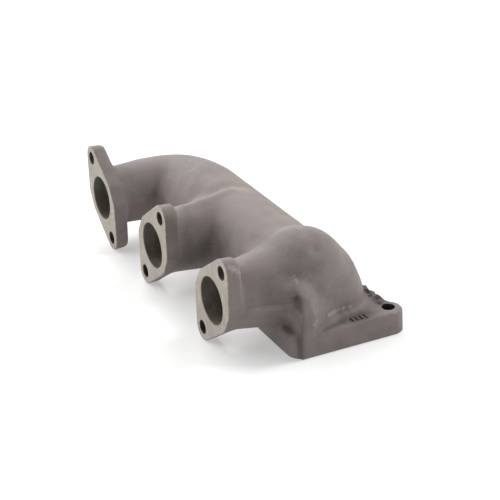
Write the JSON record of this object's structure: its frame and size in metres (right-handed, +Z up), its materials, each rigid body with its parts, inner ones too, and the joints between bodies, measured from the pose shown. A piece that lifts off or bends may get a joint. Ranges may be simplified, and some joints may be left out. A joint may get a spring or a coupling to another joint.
{
  "type": "exhaust manifold",
  "caption": "Cast-iron exhaust manifold: in-line ports run into a log collector that turns down through an elbow to a square outlet flange.",
  "frame": {"origin": "centre of the middle port's bore on the gasket face", "axes": "+X along the row of ports towards the outlet end, +Y away from the cylinder head, +Z up, opposite to the outlet"},
  "size_m": [0.2547, 0.1235, 0.0718],
  "materials": {
    "cast_skin": "as cast, fine sand grain, matt",
    "faced_casting": "as cast, with the gasket face milled pale"
  },
  "bodies": {
    "root": {"runner_1": "cast_skin", "runner_1_bend": "cast_skin", "collector_head": "cast_skin", "runner_2": "cast_skin", "collector_branch": "cast_skin", "collector_run": "cast_skin", "runner_3": "cast_skin", "elbow_entry": "cast_skin", "outlet_elbow": "cast_skin", "outlet_neck": "cast_skin", "outlet_flange": "cast_skin", "stud_boss_inner": "cast_skin", "stud_boss_outer": "cast_skin", "cast_marks": "cast_skin", "port_flange_1": "faced_casting", "port_flange_2": "faced_casting", "port_flange_3": "faced_casting"}
  },
  "joints": []
}
